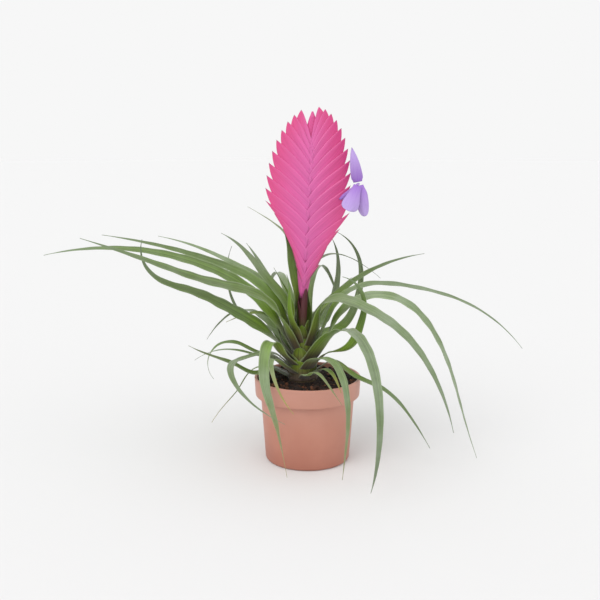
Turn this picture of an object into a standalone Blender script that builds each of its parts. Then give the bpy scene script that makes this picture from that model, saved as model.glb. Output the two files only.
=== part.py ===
"""Pink quill plant (Wallisia cyanea) in a plastic grower's pot, built at real size.

Frame: metres, +Z up, origin at the centre of the pot's flat base. The flat flower
spike faces -Y, and the long leaves arch out mostly along +X and -X.
Sizes below are in millimetres and angles in degrees; mm() turns them into metres.
A heading is measured in plan from +X towards +Y. A climb is the angle above level.
"""

import math
import random
from collections import namedtuple

import bmesh
import bpy
import numpy as np

# Driving dimensions of the pot
RIM_RADIUS = 45.0
POT_HEIGHT = 72.0
BAND_HEIGHT = 16.5
BAND_FOOT_RADIUS = 44.2
WALL = 1.5
WALL_TOP_RADIUS = 39.6
WALL_FOOT_RADIUS = 36.0
FOOT_ROUND = 2.4
FLOOR = 2.0
DRAIN_HOLES = 6
DRAIN_HOLE_RADIUS = 4.0
DRAIN_RING_RADIUS = 21.0
POT_SIDES = 56
SHARP_ANGLE = 35.0

# Driving dimensions of the soil and the crown that carries the leaves
GAP = 0.3
SOIL_EDGE_Z = 68.5
SOIL_SEED = 4
SOIL_LUMPS = 46
SOIL_SIDES = 40
SOIL_CLEARANCE = 0.5
CROWN_SIDES = 20
CROWN_X = -4.0
CROWN_SOIL_RADIUS = 12.0
CROWN_TOP_RADIUS = 4.0
CROWN_SOIL_Z = 70.0
CROWN_TOP_Z = 112.0
CROWN_ROOT_Z = 42.0

# Driving dimensions of a leaf blade
BLADE = 0.7
BLADE_ROWS = 12
BLADE_COLUMNS = 5
ROW_BIAS = 1.25
SHEATH_HALF_ANGLE = 52.0
BLADE_TIP = 1.0
CHANNEL_HALF_ANGLE = 28.0
SHEATH_LENGTH = 14.0
SHEATH_FADE = 26.0
LOWEST_SEAT = 71.0
LOWEST_LAUNCH = 24.0
HIGHEST_LAUNCH = 80.0
STATION_BIAS = 0.65
WALK_STEPS = 24

# Driving dimensions of the flower spike
SCAPE_RADIUS = 2.2
SCAPE_TOP_Z = 139.0
SPIKE_TOP_Z = 295.0
SPIKE_WIDEST_Z = 231.0
SPIKE_LEFT_WIDTH = 36.0
SPIKE_RIGHT_WIDTH = 33.2
SPIKE_LEAN = 3.4
LEFT_BRACTS = 14
RIGHT_BRACTS = 15
LOWER_TIP_DROPS = (21.0, 34.0, 49.0, 64.0)
LOWER_LEFT_WIDTHS = (28.0, 20.0, 12.0, 7.5)
LOWER_RIGHT_WIDTHS = (34.0, 27.0, 17.5, 12.0)
FIRST_LEFT_ANGLE = 17.0
FIRST_RIGHT_ANGLE = 6.0
BRACT_ANGLE_STEP = 9.2
BRACT_REACH = 40.0
BRACT_WIDTH = 17.0
BRACT_HALF_THICKNESS = 1.9
BRACT_EDGE = 0.35
BRACT_ROWS = 8
BRACT_TIP_SHARE = 0.62
BRACT_TUCK = 0.7

# Each leaf: node name, heading, turn of the heading along the leaf, height of its seat
# on the crown, length, blade width, roll of the blade, and its climbs beyond the sheath
Leaf = namedtuple("Leaf", "name heading turn seat length width roll climbs")
LEAVES = (
    Leaf("leaf_left_01", 176, 3, 92.8, 244, 12, -40, (53, 25, 7, -13)),
    Leaf("leaf_left_02", 161, 20, 96.7, 204, 10, -40, (61, 24, 15, 8)),
    Leaf("leaf_left_03", -140, -36, 94.8, 211, 13, -40, (56, 18, 23, 18)),
    Leaf("leaf_left_04", -165, -14, 86.5, 170, 15, -40, (44, 34, 29, 23, 107)),
    Leaf("leaf_left_05", 175, 0, 88.2, 79, 7, -25, (78, 47, -11, -26)),
    Leaf("leaf_left_06", 136, 19, 103.5, 186, 7, -45, (43, 20, 16, 6)),
    Leaf("leaf_left_07", 151, 4, 105.5, 115, 12, -25, (58, 44, 47, 20)),
    Leaf("leaf_left_08", 118, 1, 99.6, 131, 9, -45, (33, 27, 33, 23)),
    Leaf("leaf_left_09", 134, 3, 85.0, 147, 6, 0, (19, 6, 64, 121)),
    Leaf("leaf_left_10", 107, 34, 110.3, 140, 6, 5, (81, 71, 26, 19)),
    Leaf("leaf_left_11", 171, 7, 108.1, 106, 11, -57, (105, 77, 83, 56)),
    Leaf("leaf_left_12", 202, 16, 101.1, 71, 8, 0, (105, 77, 60, 58)),
    Leaf("leaf_left_13", 241, 0, 99.6, 68, 7, 0, (50, 70, 95, 55)),
    Leaf("leaf_left_14", 195, 162, 81.0, 157, 8, 0, (-2, 3, -24, -26)),
    Leaf("leaf_left_15", 180, -5, 78.5, 101, 7, -20, (10, 28, -41, -130)),
    Leaf("leaf_left_16", 163, 0, 76.0, 94, 5, -10, (3, 11, -10, -38)),
    Leaf("leaf_left_17", -163, -18, 74.0, 93, 9, -20, (-27, 31, 21, 28)),
    Leaf("leaf_left_18", 172, -25, 71.5, 101, 4, 0, (-8, -58, -48, -56)),
    Leaf("leaf_right_01", 22, -6, 105.0, 133, 8, 30, (42, 34, 20, 5)),
    Leaf("leaf_right_02", 3, -17, 93.9, 220, 8, 25, (62, 2, -18, -52)),
    Leaf("leaf_right_03", -15, 17, 87.3, 255, 11, 30, (67, 16, -48, -72, -70)),
    Leaf("leaf_right_04", -40, 15, 98.0, 208, 12, 30, (73, -2, -25, -55, -77)),
    Leaf("leaf_right_05", 42, -25, 89.8, 143, 9, 45, (0, 56, 93, 155)),
    Leaf("leaf_right_06", -26, 5, 82.4, 109, 10, -60, (11, 63, 87, 172)),
    Leaf("leaf_right_07", -20, -10, 77.6, 128, 7, 20, (-35, -15, -45, -57)),
    Leaf("leaf_front_01", -58, -25, 84.9, 232, 12, 0, (39, 13, -41, -90, -131)),
    Leaf("leaf_front_02", -146, 162, 82.5, 151, 11, 0, (51, -61, -49, -74, -81)),
    Leaf("leaf_front_03", -128, 90, 76.5, 107, 6, 0, (32, 4, -36, -38)),
    Leaf("leaf_front_04", -70, 29, 80.0, 155, 9, 0, (18, 1, -67, -94, -97)),
    Leaf("leaf_front_05", -53, -4, 75.0, 49, 7, 0, (15, -12, -44, -56)),
    Leaf("leaf_front_06", -86, 54, 73.0, 82, 6, 0, (8, 28, -31, -50)),
    Leaf("leaf_back_01", 68, -13, 92.2, 137, 12, 0, (-5, 33, 75, 137)),
    Leaf("leaf_back_02", 51, -33, 106.9, 138, 7, 0, (106, 54, -16, -42)),
    Leaf("leaf_back_03", 80, -16, 95.4, 164, 9, 0, (70, 31, -29, -63)),
    Leaf("leaf_back_04", 41, -2, 98.4, 73, 6, 0, (55, 42, 38, 28)),
    Leaf("leaf_back_05", 98, 8, 73.5, 120, 8, 0, (12, 2, -30, -48)),
    Leaf("leaf_back_06", 124, 10, 80.2, 165, 10, 0, (30, 12, -25, -50)),
    Leaf("leaf_back_07", 84, -4, 83.0, 150, 10, 0, (30, 4, -30, -52)),
    Leaf("leaf_back_08", 104, -3, 87.1, 184, 11, 0, (46, 26, -12, -52)),
)

# Each petal: node name, lean of its midrib from straight up, length, width, how far it
# arches to the front of the other petals, the share of its width that its claw has, the
# share of its length at which it is widest, and the power that shapes its end (a low power
# gives a blunt end)
Petal = namedtuple("Petal", "name lean length width forward claw widest end_power")
PETALS = (
    Petal("petal_upper", -11, 28, 9.5, 0.0, 0.75, 0.14, 0.9),
    Petal("petal_lower_left", -157, 21, 14, 6.0, 0.5, 0.8, 0.36),
    Petal("petal_lower_right", 168, 25, 11, 0.3, 0.7, 0.3, 0.4),
)
PETAL_THICKNESS = 0.8
PETAL_ROWS = 11
FLOWER_AT = (40.5, -7.5, 234.0)
CALYX_FOOT = (27.0, 0.0, 222.0)
CALYX_RADIUS = 1.6

# Colours as sRGB hex values
POT_COLOUR = "#C4897A"
SOIL_COLOUR = "#3A2A20"
LEAF_COLOUR = "#7E9A48"
CROWN_COLOUR = "#6E7A3C"
SPIKE_COLOUR = "#DF689F"
PETAL_COLOUR = "#BE9BEB"


def mm(value):
    """Turn millimetres into metres."""
    return value * 0.001


def linear_colour(code):
    """Turn an sRGB hex colour into linear RGBA."""
    channels = [int(code[i:i + 2], 16) / 255 for i in (1, 3, 5)]
    return [c / 12.92 if c <= 0.04045 else ((c + 0.055) / 1.055) ** 2.4 for c in channels] + [1.0]


def make_material(name, colour, roughness):
    """Make a plain Principled material."""
    material = bpy.data.materials.new(name)
    material.use_nodes = True
    shader = material.node_tree.nodes["Principled BSDF"]
    shader.inputs["Base Color"].default_value = linear_colour(colour)
    shader.inputs["Roughness"].default_value = roughness
    shader.inputs["Metallic"].default_value = 0.0
    return material


def add_object(name, mesh, material):
    """Link a mesh to the scene as one named, smooth-shaded object."""
    mesh.name = name
    mesh.materials.clear()
    mesh.materials.append(material)
    mesh.shade_smooth()
    mesh.set_sharp_from_angle(angle=math.radians(SHARP_ANGLE))
    obj = bpy.data.objects.new(name, mesh)
    bpy.context.collection.objects.link(obj)
    return obj


def mesh_from_bmesh(bm):
    """Turn a bmesh into a mesh with its faces pointing out, and free it."""
    bmesh.ops.recalc_face_normals(bm, faces=bm.faces)
    mesh = bpy.data.meshes.new("mesh")
    bm.to_mesh(mesh)
    bm.free()
    return mesh


def add_modifier(obj, kind, **settings):
    """Add a modifier with the settings given."""
    modifier = obj.modifiers.new(kind.title(), kind)
    for key, value in settings.items():
        setattr(modifier, key, value)
    return modifier


def apply_modifiers(obj):
    """Replace an object's mesh with the shape that its modifiers make."""
    evaluated = obj.evaluated_get(bpy.context.evaluated_depsgraph_get())
    mesh = bpy.data.meshes.new_from_object(evaluated)
    obj.modifiers.clear()
    old = obj.data
    obj.data = mesh
    bpy.data.meshes.remove(old)
    mesh.shade_smooth()
    mesh.set_sharp_from_angle(angle=math.radians(SHARP_ANGLE))
    return obj


def ring(bm, radius, height, centre_x=0.0, sides=POT_SIDES, wobble=None):
    """Add a level ring of vertices, sizes in millimetres."""
    verts = []
    for i in range(sides):
        angle = math.tau * i / sides
        lift = wobble(radius, angle) if wobble else 0.0
        x = centre_x + radius * math.cos(angle)
        verts.append(bm.verts.new((mm(x), mm(radius * math.sin(angle)), mm(height + lift))))
    return verts


def skin(bm, rings):
    """Join successive rings with quads."""
    for lower, upper in zip(rings, rings[1:]):
        count = len(lower)
        for i in range(count):
            j = (i + 1) % count
            bm.faces.new((lower[i], lower[j], upper[j], upper[i]))


# Pot

def pot_outline():
    """List the pot's half section as radius and height, down the outside and up the inside."""
    band_foot = POT_HEIGHT - BAND_HEIGHT
    outside = [(RIM_RADIUS - 1.7, POT_HEIGHT), (RIM_RADIUS - 0.5, POT_HEIGHT),
               (RIM_RADIUS, POT_HEIGHT - 0.6), (BAND_FOOT_RADIUS, band_foot + 1.4),
               (WALL_TOP_RADIUS + 1.6, band_foot), (WALL_TOP_RADIUS, band_foot - 1.2)]
    for step in range(4):
        angle = math.radians(30 * step)
        radius = WALL_FOOT_RADIUS - FOOT_ROUND * (1 - math.cos(angle))
        outside.append((radius, FOOT_ROUND * (1 - math.sin(angle))))
    inside = [(WALL_FOOT_RADIUS - WALL - 1.5, FLOOR), (WALL_FOOT_RADIUS - WALL, FLOOR + 1.5),
              (WALL_TOP_RADIUS - WALL, band_foot - 1.2),
              (BAND_FOOT_RADIUS - WALL - 1.0, band_foot + 1.2),
              (RIM_RADIUS - WALL - 1.0, POT_HEIGHT - 3.0), (RIM_RADIUS - 2.2, POT_HEIGHT - 0.6)]
    return outside, inside


def build_pot(material):
    """Turn the pot's section and cut a ring of drain holes through its floor."""
    bm = bmesh.new()
    outside, inside = pot_outline()
    rings = [ring(bm, radius, height) for radius, height in outside + inside]
    base = rings[len(outside) - 1]
    floor = rings[len(outside)]
    skin(bm, rings[:len(outside)])
    skin(bm, rings[len(outside):])
    skin(bm, [rings[-1], rings[0]])
    bm.faces.new(base)
    bm.faces.new(floor)
    pot = add_object("pot", mesh_from_bmesh(bm), material)
    for i in range(DRAIN_HOLES):
        cutter = build_drain_cutter(i)
        add_modifier(pot, "BOOLEAN", object=cutter, operation="DIFFERENCE", solver="EXACT")
    return pot


def build_drain_cutter(index):
    """Make the drill for one drain hole in the pot's floor."""
    angle = math.tau * (index + 0.5) / DRAIN_HOLES
    bm = bmesh.new()
    radius = mm(DRAIN_HOLE_RADIUS)
    bmesh.ops.create_cone(bm, cap_ends=True, segments=12, radius1=radius, radius2=radius,
                          depth=mm(4 * FLOOR))
    mesh = bpy.data.meshes.new("drain_cutter")
    bm.to_mesh(mesh)
    bm.free()
    cutter = bpy.data.objects.new(f"drain_cutter_{index + 1}", mesh)
    ring_radius = mm(DRAIN_RING_RADIUS)
    cutter.location = (ring_radius * math.cos(angle), ring_radius * math.sin(angle), 0)
    cutter.hide_render = True
    cutter.display_type = "WIRE"
    bpy.context.collection.objects.link(cutter)
    return cutter


# Soil and crown

def soil_lumps():
    """Scatter the low lumps of bark in the soil: place, reach and height of each."""
    rng = random.Random(SOIL_SEED)
    lumps = []
    for _ in range(SOIL_LUMPS):
        angle = rng.uniform(0, math.tau)
        radius = rng.uniform(19, 41)
        lumps.append((radius * math.cos(angle), radius * math.sin(angle), rng.uniform(2.5, 5.0),
                      rng.uniform(0.4, 2.4)))
    return lumps


def build_soil(material):
    """Fill the pot with soil: a lumpy top, sides clear of the wall, and a hole for the crown."""
    lumps = soil_lumps()
    hole = CROWN_SOIL_RADIUS + SOIL_CLEARANCE
    edge = RIM_RADIUS - WALL - 1.0 - SOIL_CLEARANCE
    wall_foot = WALL_FOOT_RADIUS - WALL - SOIL_CLEARANCE
    band_foot = POT_HEIGHT - BAND_HEIGHT

    def relief(radius, angle):
        x = radius * math.cos(angle)
        y = radius * math.sin(angle)
        rise = 0.6 * math.sin(3 * angle + 1) * (radius / edge)
        for lump_x, lump_y, reach, height in lumps:
            rise += height * math.exp(-((x - lump_x) ** 2 + (y - lump_y) ** 2) / reach ** 2)
        return rise if hole + 1 < radius < edge - 0.5 else 0.0

    bm = bmesh.new()
    sides = SOIL_SIDES
    rings = [ring(bm, hole, level, CROWN_X, sides) for level in (CROWN_ROOT_Z - GAP, CROWN_SOIL_Z - 1.0)]
    for share in (0.2, 0.42, 0.62, 0.82, 1.0):
        radius = hole + (edge - hole) * share
        height = CROWN_SOIL_Z - 1.0 + (SOIL_EDGE_Z - CROWN_SOIL_Z + 1.0) * share
        rings.append(ring(bm, radius, height, CROWN_X * (1 - share), sides, relief))
    rings.append(ring(bm, BAND_FOOT_RADIUS - WALL - 1.0 - SOIL_CLEARANCE, band_foot + 1.9, 0, sides))
    rings.append(ring(bm, WALL_TOP_RADIUS - WALL - SOIL_CLEARANCE, band_foot - 0.7, 0, sides))
    rings.append(ring(bm, wall_foot, FLOOR + GAP + 1.8, 0, sides))
    rings.append(ring(bm, wall_foot - 1.5, FLOOR + GAP, 0, sides))
    skin(bm, rings)
    bm.faces.new(rings[0])
    bm.faces.new(rings[-1])
    return add_object("soil", mesh_from_bmesh(bm), material)


def crown_radius(height):
    """Radius of the crown's surface at a height above the soil."""
    share = (height - CROWN_SOIL_Z) / (CROWN_TOP_Z - CROWN_SOIL_Z)
    return CROWN_SOIL_RADIUS + (CROWN_TOP_RADIUS - CROWN_SOIL_RADIUS) * max(share, 0.0)


def build_crown(material):
    """Make the short stem that stands in the soil, carries the leaves and runs on as the scape."""
    bm = bmesh.new()
    sides = CROWN_SIDES
    levels = [CROWN_ROOT_Z, CROWN_SOIL_Z, CROWN_TOP_Z]
    rings = [ring(bm, crown_radius(level), level, CROWN_X, sides) for level in levels]
    for level in (CROWN_TOP_Z + 4, SCAPE_TOP_Z):
        rings.append(ring(bm, SCAPE_RADIUS, level, CROWN_X, sides))
    skin(bm, rings)
    bm.faces.new(rings[0])
    bm.faces.new(rings[-1])
    return add_object("crown", mesh_from_bmesh(bm), material)


# Leaves

def station_value(values, share):
    """Read a smooth curve through values whose stations crowd towards the seat."""
    values = np.asarray(values, float)
    last = len(values) - 1
    place = np.clip(share, 0, 1) ** STATION_BIAS * last
    index = np.minimum(place.astype(int), last - 1)
    t = place - index
    ends = np.concatenate([[2 * values[0] - values[1]], values, [2 * values[-1] - values[-2]]])
    a, b, c, d = (ends[index + k] for k in range(4))
    return 0.5 * (2 * b + (c - a) * t + (2 * a - 5 * b + 4 * c - d) * t ** 2
                  + (3 * b - a - 3 * c + d) * t ** 3)


def smooth_step(value):
    """Ease from 0 to 1."""
    value = np.clip(value, 0, 1)
    return value * value * (3 - 2 * value)


def launch_climb(seat):
    """Climb of a sheath at its seat: low leaves lean out, so each nests inside the one below."""
    depth = (CROWN_TOP_Z - seat) / (CROWN_TOP_Z - LOWEST_SEAT)
    return HIGHEST_LAUNCH - (HIGHEST_LAUNCH - LOWEST_LAUNCH) * depth ** 1.5


def leaf_angles(leaf, share):
    """Climb and heading in radians at shares of a leaf's length."""
    free = np.clip((share * leaf.length - SHEATH_LENGTH) / (leaf.length - SHEATH_LENGTH), 0, 1)
    climb = station_value((launch_climb(leaf.seat), *leaf.climbs), free)
    return np.radians(climb), np.radians(leaf.heading + leaf.turn * free)


def midrib(leaf, rows):
    """Walk along a leaf's midrib: its points, climbs, headings and distances from the seat."""
    fine = WALK_STEPS * (rows - 1)
    climb, heading = leaf_angles(leaf, (np.arange(fine) + 0.5) / fine)
    step = leaf.length / fine
    moves = np.stack([np.cos(climb) * np.cos(heading), np.cos(climb) * np.sin(heading), np.sin(climb)], 1)
    start = math.radians(leaf.heading)
    seat = crown_radius(leaf.seat) + GAP + BLADE / 2 + 0.05
    foot = np.array([CROWN_X + seat * math.cos(start), seat * math.sin(start), leaf.seat])
    walk = np.vstack([foot, foot + np.cumsum(moves * step, 0)])
    share = (np.arange(rows) / (rows - 1)) ** ROW_BIAS
    stops = np.arange(fine + 1)
    points = np.stack([np.interp(share * fine, stops, walk[:, axis]) for axis in range(3)], 1)
    climb, heading = leaf_angles(leaf, share)
    return points, climb, heading, share


def leaf_width(leaf, share):
    """Width along a leaf: a clasping sheath, then a strap that tapers to a fine tip."""
    along = share * leaf.length
    clasp = 2 * math.radians(SHEATH_HALF_ANGLE) * crown_radius(leaf.seat)
    sheath = min(max(1.5 * leaf.width, 9.0), clasp)
    blade = leaf.width * (1 - np.clip((share - 0.12) / 0.88, 0, 1) ** 1.5)
    flare = (sheath - leaf.width) * (1 - smooth_step(along / (0.25 * leaf.length + 10.0)))
    return np.maximum(blade + flare, BLADE_TIP)


def leaf_grid(leaf, rows, columns):
    """Lay out a leaf's mid surface as rows of points across it, in millimetres."""
    points, climb, heading, share = midrib(leaf, rows)
    width = leaf_width(leaf, share)
    along = share * leaf.length
    blend = smooth_step((along - SHEATH_LENGTH) / SHEATH_FADE)
    from_axis = np.hypot(points[:, 0] - CROWN_X, points[:, 1])
    clasp = np.maximum(np.sin(climb), 0.2) / from_axis
    channel = 2 * math.radians(CHANNEL_HALF_ANGLE) / np.maximum(width, 0.5 * leaf.width)
    curl = clasp * (1 - blend) + channel * blend
    roll = np.radians(leaf.roll) * smooth_step((along - 12.0) / 40.0)
    side = np.stack([-np.sin(heading), np.cos(heading), np.zeros(rows)], 1)
    inwards = -np.sin(climb)
    face = np.stack([inwards * np.cos(heading), inwards * np.sin(heading), np.cos(climb)], 1)
    cos_roll = np.cos(roll)[:, None]
    sin_roll = np.sin(roll)[:, None]
    side, face = side * cos_roll + face * sin_roll, face * cos_roll - side * sin_roll
    grid = np.zeros((rows, columns, 3))
    for column in range(columns):
        angle = width * curl * (column / (columns - 1) - 0.5)
        across = (np.sin(angle) / curl)[:, None]
        rise = ((1 - np.cos(angle)) / curl)[:, None]
        grid[:, column] = points + side * across + face * rise
    return grid


def grid_mesh(grid):
    """Make an open sheet of quads from rows of points in millimetres."""
    bm = bmesh.new()
    rows = [[bm.verts.new(mm(1) * point) for point in row] for row in grid]
    for lower, upper in zip(rows, rows[1:]):
        for i in range(len(lower) - 1):
            bm.faces.new((lower[i], lower[i + 1], upper[i + 1], upper[i]))
    mesh = bpy.data.meshes.new("sheet")
    bm.to_mesh(mesh)
    bm.free()
    return mesh


def build_leaf(leaf, material):
    """Make one leaf as a sheet, and thicken it to a closed blade."""
    obj = add_object(leaf.name, grid_mesh(leaf_grid(leaf, BLADE_ROWS, BLADE_COLUMNS)), material)
    add_modifier(obj, "SOLIDIFY", thickness=mm(BLADE), offset=0.0)
    return obj


# Flower spike

def spike_axis(height):
    """X of the spike's leaning centre line at a height."""
    return CROWN_X + math.tan(math.radians(SPIKE_LEAN)) * (height - SCAPE_TOP_Z)


def bract_count(side):
    """Number of bracts in the rank on a side."""
    return RIGHT_BRACTS if side > 0 else LEFT_BRACTS


def bract_tip(side, index):
    """Half width and height of a bract's tip, counted from the top of the spike."""
    low = index - bract_count(side) + len(LOWER_TIP_DROPS)
    if low >= 0:
        widths = LOWER_RIGHT_WIDTHS if side > 0 else LOWER_LEFT_WIDTHS
        return widths[low], SPIKE_WIDEST_Z - LOWER_TIP_DROPS[low]
    half_width = SPIKE_RIGHT_WIDTH if side > 0 else SPIKE_LEFT_WIDTH
    first = FIRST_RIGHT_ANGLE if side > 0 else FIRST_LEFT_ANGLE
    angle = math.radians(first + BRACT_ANGLE_STEP * index)
    rise = SPIKE_TOP_Z - SPIKE_WIDEST_Z
    return half_width * math.sin(angle), SPIKE_WIDEST_Z + rise * math.cos(angle)


def bract_rings(side, index):
    """Rings of a bract's lens-shaped section along its curved midrib, in millimetres."""
    half, top = bract_tip(side, index)
    foot_z = max(top - BRACT_REACH, SCAPE_TOP_Z + 9.0)
    tip = np.array([spike_axis(top) + side * half, top])
    foot = np.array([spike_axis(foot_z), foot_z])
    to_foot = foot - tip
    reach = np.linalg.norm(to_foot)
    backwards = to_foot / reach
    if index < bract_count(side) - 1:
        next_half, next_top = bract_tip(side, index + 1)
        to_next = np.array([spike_axis(next_top) + side * next_half, next_top]) - tip
        backwards = backwards * (1 - BRACT_TUCK) + to_next / np.linalg.norm(to_next) * BRACT_TUCK
    bend = tip + backwards * reach * 0.55
    widest = BRACT_WIDTH * min(1.0, half / 30.0 + 0.34, (top - SCAPE_TOP_Z) / 70.0)
    rows = []
    for step in range(BRACT_ROWS):
        t = step / (BRACT_ROWS - 1)
        point = (1 - t) ** 2 * foot + 2 * t * (1 - t) * bend + t * t * tip
        along = (1 - t) * (bend - foot) + t * (tip - bend)
        along /= np.linalg.norm(along)
        inward = side * np.array([-along[1], along[0]])
        swell = math.sin(math.pi * min(t + 0.18, 1.0) ** 1.3)
        neck = 0.3 + 0.7 * min(t / 0.35, 1.0)
        width = widest * neck * (BRACT_TIP_SHARE + (1 - BRACT_TIP_SHARE) * swell)
        width = max(width * (1 - t ** 9), 1.0)
        thick = BRACT_EDGE + (BRACT_HALF_THICKNESS - BRACT_EDGE) * (1 - t) ** 0.8
        section = ((0.0, BRACT_EDGE), (0.6, thick), (1.0, BRACT_EDGE), (1.0, -BRACT_EDGE),
                   (0.6, -thick), (0.0, -BRACT_EDGE))
        rows.append([(*(point + inward * width * place), depth) for place, depth in section])
    return rows


def tube_solid(name, rows):
    """Close successive rings of (x, z, y) points into one solid."""
    bm = bmesh.new()
    rings = [[bm.verts.new((mm(x), mm(y), mm(z))) for x, z, y in row] for row in rows]
    skin(bm, rings)
    bm.faces.new(rings[0])
    bm.faces.new(rings[-1])
    obj = bpy.data.objects.new(name, mesh_from_bmesh(bm))
    bpy.context.collection.objects.link(obj)
    return obj


def spike_core_rings():
    """Rings of the flattened core that all the bracts grow from."""
    rows = []
    foot = SCAPE_TOP_Z + GAP
    for step in range(9):
        t = step / 8
        height = foot + (SPIKE_TOP_Z - 4.0 - foot) * t
        half_width = 2.4 + 6.0 * math.sin(math.pi * t ** 0.9) ** 0.8 + 4.6 * t ** 4 - 6.0 * t ** 9
        half_depth = 2.4 + 1.6 * math.sin(math.pi * t) - 1.6 * t
        middle = spike_axis(height) - 1.4 * t ** 6
        rows.append([(middle + half_width * math.cos(a), height, half_depth * math.sin(a))
                     for a in (math.tau * k / 12 for k in range(12))])
    return rows


def calyx_rings():
    """Rings of the short tube that carries the open flower at the spike's edge."""
    foot = np.array(CALYX_FOOT)
    run = np.array(FLOWER_AT) - foot
    rows = []
    for share, radius in ((0.0, 2.4), (0.6, CALYX_RADIUS), (1.0, CALYX_RADIUS * 0.8)):
        x, y, z = foot + run * share
        lip = [(radius * math.cos(a), radius * math.sin(a)) for a in (math.tau * k / 8 for k in range(8))]
        rows.append([(x + right, z + 0.6 * up, y + 0.8 * up) for right, up in lip])
    return rows


def build_spike(material):
    """Fuse the bracts of both ranks and the flower's tube onto the core as one solid."""
    spike = tube_solid("flower_spike", spike_core_rings())
    spike.data.materials.append(material)
    parts = bpy.data.collections.new("bracts")
    bpy.context.scene.collection.children.link(parts)
    pieces = [tube_solid(f"bract_{side}_{index}", bract_rings(side, index))
              for side in (-1, 1) for index in range(bract_count(side))]
    pieces.append(tube_solid("calyx", calyx_rings()))
    for piece in pieces:
        bpy.context.collection.objects.unlink(piece)
        parts.objects.link(piece)
    add_modifier(spike, "BOOLEAN", operation="UNION", operand_type="COLLECTION",
                 collection=parts, solver="EXACT")
    apply_modifiers(spike)
    for piece in pieces:
        mesh = piece.data
        bpy.data.objects.remove(piece)
        bpy.data.meshes.remove(mesh)
    bpy.data.collections.remove(parts)
    return spike


def petal_grid(petal):
    """Lay out a petal: a narrow claw that widens to a rounded blade and arches forward."""
    lean = math.radians(petal.lean)
    along = np.array([math.sin(lean), 0.0, math.cos(lean)])
    across = np.array([math.cos(lean), 0.0, -math.sin(lean)])
    front = np.array([0.0, -1.0, 0.0])
    start = np.array(FLOWER_AT) + along * 1.4 - front * 1.2 * math.cos(lean)
    grid = []
    for row in range(PETAL_ROWS):
        t = row / (PETAL_ROWS - 1)
        spread = petal.claw + (1 - petal.claw) * smooth_step(t / petal.widest)
        beyond = max(t - petal.widest, 0) / (1 - petal.widest)
        width = petal.width * spread * max(1 - 0.97 * beyond ** 2, 0.03) ** petal.end_power
        arch = petal.forward * (0.4 + 1.2 * t) + 3.0 * math.sin(math.pi * 0.9 * t)
        middle = start + along * petal.length * t + front * arch
        cup = 0.16 * width
        grid.append([middle + across * width * place - front * cup * (2 * place) ** 2
                     for place in (-0.5, -0.25, 0.0, 0.25, 0.5)])
    return np.array(grid)


def build_petal(petal, material):
    """Make one petal as a sheet, and thicken it to a closed blade."""
    obj = add_object(petal.name, grid_mesh(petal_grid(petal)), material)
    add_modifier(obj, "SOLIDIFY", thickness=mm(PETAL_THICKNESS), offset=0.0)
    return obj


def build():
    """Clear the scene and build every piece of the potted plant."""
    for obj in list(bpy.data.objects):
        bpy.data.objects.remove(obj)
    build_pot(make_material("pot_plastic", POT_COLOUR, 0.55))
    build_soil(make_material("soil", SOIL_COLOUR, 0.95))
    build_crown(make_material("crown", CROWN_COLOUR, 0.6))
    leaf_material = make_material("leaf", LEAF_COLOUR, 0.55)
    for leaf in LEAVES:
        build_leaf(leaf, leaf_material)
    build_spike(make_material("spike", SPIKE_COLOUR, 0.55))
    petal_material = make_material("petal", PETAL_COLOUR, 0.6)
    for petal in PETALS:
        build_petal(petal, petal_material)


build()
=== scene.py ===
"""Looks of a pink quill plant in its plastic grower's pot.

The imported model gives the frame: metres, +Z up, origin at the centre of the pot's base.
Sizes in the classes below are millimetres and degrees. A heading is measured in plan
from +X towards +Y, and a climb is the angle above level.
"""

import logging
import math
import random
from dataclasses import dataclass, field
from enum import Enum
from functools import partial
from typing import Any, Callable, Iterable, Sequence

import bpy
import numpy as np
from mathutils import Matrix, Vector, noise


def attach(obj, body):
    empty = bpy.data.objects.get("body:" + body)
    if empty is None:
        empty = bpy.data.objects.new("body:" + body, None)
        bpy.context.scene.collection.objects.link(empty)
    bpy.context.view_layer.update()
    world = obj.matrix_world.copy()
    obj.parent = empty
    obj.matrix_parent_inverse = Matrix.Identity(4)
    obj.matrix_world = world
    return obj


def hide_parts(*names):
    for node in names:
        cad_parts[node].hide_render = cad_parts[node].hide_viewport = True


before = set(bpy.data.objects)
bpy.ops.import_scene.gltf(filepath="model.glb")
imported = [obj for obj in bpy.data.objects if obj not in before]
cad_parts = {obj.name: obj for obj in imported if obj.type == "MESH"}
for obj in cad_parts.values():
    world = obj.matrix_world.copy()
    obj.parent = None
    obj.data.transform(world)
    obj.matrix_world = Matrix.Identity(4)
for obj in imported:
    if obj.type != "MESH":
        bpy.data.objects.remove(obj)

LOG = logging.getLogger("quill_plant")
ROOT = "root"
MERGE_DISTANCE = 0.000002
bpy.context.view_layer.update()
CROWN_X = -4.0
SCAPE_TOP = 139.0
SPIKE_LEAN = 3.4

Colour = tuple[float, float, float, float]
Stop = tuple[float, str]
Adder = Callable[..., bpy.types.Node]


class Side(Enum):
    """The two ranks of bracts, seen from the front."""

    LEFT = -1
    RIGHT = 1


class Face(Enum):
    """The two faces of a blade."""

    UPPER = 1.0
    UNDER = 0.0


class Blend(Enum):
    """How a layer of colour goes over the one below it."""

    COVER = "MIX"
    SHADE = "MULTIPLY"


def mm(value: float) -> float:
    """Turn millimetres into metres."""
    return value * 0.001


def linear(code: str) -> Colour:
    """Turn an sRGB hex colour into linear RGBA.

    Args:
        code: The colour as #RRGGBB.

    Returns:
        The linear colour with full alpha.
    """
    parts = [int(code[i:i + 2], 16) / 255 for i in (1, 3, 5)]
    flat = [c / 12.92 if c <= 0.04045 else ((c + 0.055) / 1.055) ** 2.4 for c in parts]
    return flat[0], flat[1], flat[2], 1.0


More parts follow.
